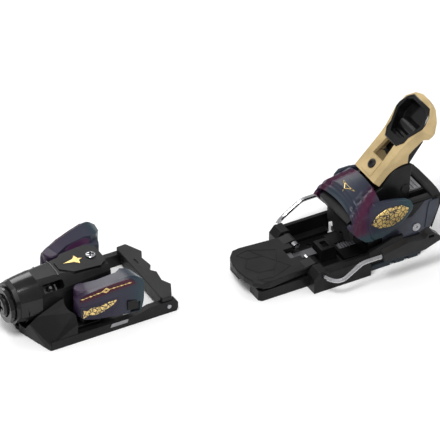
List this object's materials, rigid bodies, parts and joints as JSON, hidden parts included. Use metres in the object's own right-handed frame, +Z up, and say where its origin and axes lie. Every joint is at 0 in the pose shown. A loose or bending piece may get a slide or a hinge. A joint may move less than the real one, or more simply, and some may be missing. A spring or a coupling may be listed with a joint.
{
  "type": "step-in ski binding",
  "caption": "Step-in ski binding: toe unit with pivoting wings and sliding sole plate, and heel unit with closed cup, opening lever and ski brake.",
  "frame": {"origin": "on the ski's top surface, on the toe unit's centre line under its body", "axes": "+X from the toe unit towards the heel unit, +Y towards the skier's right, +Z up from the ski"},
  "size_m": [0.4603, 0.1657, 0.1596],
  "materials": {
    "black": "satin moulded",
    "dark_grey": "satin moulded",
    "slate": "satin lacquer over moulding",
    "gold": "satin",
    "gold_print": "satin foil",
    "steel": "zinc plated",
    "chrome": "polished",
    "brass": "machined",
    "light_grey": "moulded",
    "heel_base": "satin moulded"
  },
  "bodies": {
    "toe_unit": {"toe_base": "black", "toe_scale_plate": "light_grey", "afd_carrier": "dark_grey", "afd_rivet_left": "steel", "afd_rivet_right": "steel"},
    "afd_plate": {"afd_slider": "dark_grey"},
    "toe_head": {"toe_housing": "black", "toe_top_cover": "black", "toe_bezel": "black", "wing_pin_left": "steel", "wing_pin_right": "steel", "toe_spring": "steel"},
    "height_screw": {"toe_height_screw": "chrome"},
    "toe_screw": {"toe_release_screw": "dark_grey"},
    "toe_nut": {"toe_spring_nut": "steel", "toe_indicator_pin": "chrome"},
    "pull_rod": {"toe_pull_rod": "steel"},
    "left_wing": {"toe_wing_left": "slate", "jaw_pad_left": "black"},
    "right_wing": {"toe_wing_right": "slate", "jaw_pad_right": "black"},
    "heel_unit": {"heel_base": "heel_base", "track_rack": "steel", "brake_base": "black", "brake_link": "steel", "latch_block": "black", "brake_spring": "steel"},
    "pedal": {"brake_pedal": "black"},
    "brake_arms": {"brake_arm_left": "chrome", "brake_arm_right": "chrome", "brake_tip_left": "dark_grey", "brake_tip_right": "dark_grey"},
    "carriage": {"heel_carriage": "black", "heel_rear_cap": "black", "heel_scale_window": "light_grey", "heel_side_panel_left": "slate", "heel_side_panel_right": "slate", "heel_main_pin": "steel", "heel_spring": "steel"},
    "pressure_screw": {"forward_pressure_screw": "steel"},
    "follower": {"cam_follower": "steel"},
    "heel_nut": {"heel_spring_nut": "brass"},
    "heel_screw": {"heel_release_screw": "steel"},
    "cup": {"heel_cup": "slate", "cup_insert": "black", "step_in_lug": "dark_grey", "cup_badge_left": "gold_print", "cup_badge_right": "gold_print"},
    "opening_lever": {"lever": "gold", "lever_pocket": "black", "lever_liner": "black", "lever_bolt": "dark_grey", "lever_pin": "steel"}
  },
  "joints": [
    {"name": "afd_slide", "type": "slide", "parent": "toe_unit", "child": "afd_plate", "axis": [0, 1, 0], "range_m": [-0.004, 0.004], "stiffness_N_per_m": 400},
    {"name": "toe_head_lift", "type": "slide", "parent": "toe_unit", "child": "toe_head", "axis": [0, 0, 1], "range_m": [0, 0.004]},
    {"name": "height_screw_turn", "type": "hinge", "parent": "toe_head", "child": "height_screw", "pos_m": [0.007, 0, 0.0585], "axis": [0, 0, 1], "range_deg": [0, 1158]},
    {"name": "toe_release_screw_turn", "type": "hinge", "parent": "toe_head", "child": "toe_screw", "pos_m": [-0.084, 0, 0.033], "axis": [1, 0, 0], "range_deg": [0, 2170]},
    {"name": "toe_nut_slide", "type": "slide", "parent": "toe_head", "child": "toe_nut", "axis": [1, 0, 0], "range_m": [0, 0.009], "deforming": ["toe_spring"]},
    {"name": "pull_rod_slide", "type": "slide", "parent": "toe_head", "child": "pull_rod", "axis": [1, 0, 0], "range_m": [0, 0.006], "stiffness_N_per_m": 3000},
    {"name": "left_wing_swing", "type": "hinge", "parent": "toe_head", "child": "left_wing", "pos_m": [-0.02, -0.0332, 0.014], "axis": [0, 0, -1], "range_deg": [0, 25], "stiffness_Nm_per_rad": 3},
    {"name": "right_wing_swing", "type": "hinge", "parent": "toe_head", "child": "right_wing", "pos_m": [-0.02, 0.0332, 0.014], "axis": [0, 0, 1], "range_deg": [0, 25], "stiffness_Nm_per_rad": 3},
    {"name": "heel_unit_place", "type": "slide", "parent": "toe_unit", "child": "heel_unit", "axis": [0.8036, 0.5952, 0], "range_m": [0, 0.0763]},
    {"name": "carriage_slide", "type": "slide", "parent": "heel_unit", "child": "carriage", "axis": [1, 0, 0], "range_m": [-0.0075, 0.0075]},
    {"name": "pressure_screw_turn", "type": "hinge", "parent": "carriage", "child": "pressure_screw", "pos_m": [0.3397, -0.0454, 0.0156], "axis": [1, 0, 0], "range_deg": [-903, 903]},
    {"name": "cup_tilt", "type": "hinge", "parent": "carriage", "child": "cup", "pos_m": [0.3337, -0.0454, 0.03], "axis": [0, 1, 0], "range_deg": [0, 34]},
    {"name": "lever_swing", "type": "hinge", "parent": "cup", "child": "opening_lever", "pos_m": [0.3267, -0.0454, 0.072], "axis": [0, 1, 0], "range_deg": [0, 12.01]},
    {"name": "follower_slide", "type": "slide", "parent": "carriage", "child": "follower", "axis": [1, 0, 0], "range_m": [0, 0.0061]},
    {"name": "heel_release_screw_turn", "type": "hinge", "parent": "carriage", "child": "heel_screw", "pos_m": [0.3617, -0.0454, 0.0475], "axis": [1, 0, 0], "range_deg": [0, 1440]},
    {"name": "heel_nut_slide", "type": "slide", "parent": "carriage", "child": "heel_nut", "axis": [-1, 0, 0], "range_m": [0, 0.00601], "deforming": ["heel_spring"]},
    {"name": "brake_arm_swing", "type": "hinge", "parent": "heel_unit", "child": "brake_arms", "pos_m": [0.2197, -0.0454, 0.0185], "axis": [0, 1, 0], "range_deg": [0, 48]},
    {"name": "pedal_swing", "type": "hinge", "parent": "heel_unit", "child": "pedal", "pos_m": [0.2197, -0.0454, 0.0185], "axis": [0, 1, 0], "range_deg": [0, 31.21]}
  ],
  "couplings": [
    {"joint": "height_screw_turn", "follows": "toe_head_lift", "rad_per_m": 5026.5},
    {"joint": "toe_release_screw_turn", "follows": "toe_nut_slide", "rad_per_m": 4188.8},
    {"joint": "pressure_screw_turn", "follows": "carriage_slide", "rad_per_m": 2094.4},
    {"joint": "lever_swing", "follows": "cup_tilt", "ratio": 0.35294},
    {"joint": "follower_slide", "follows": "cup_tilt", "m_per_rad": 0.01},
    {"joint": "heel_nut_slide", "follows": "heel_release_screw_turn", "m_per_rad": 0.00023873},
    {"joint": "pedal_swing", "follows": "brake_arm_swing", "ratio": 0.65}
  ]
}
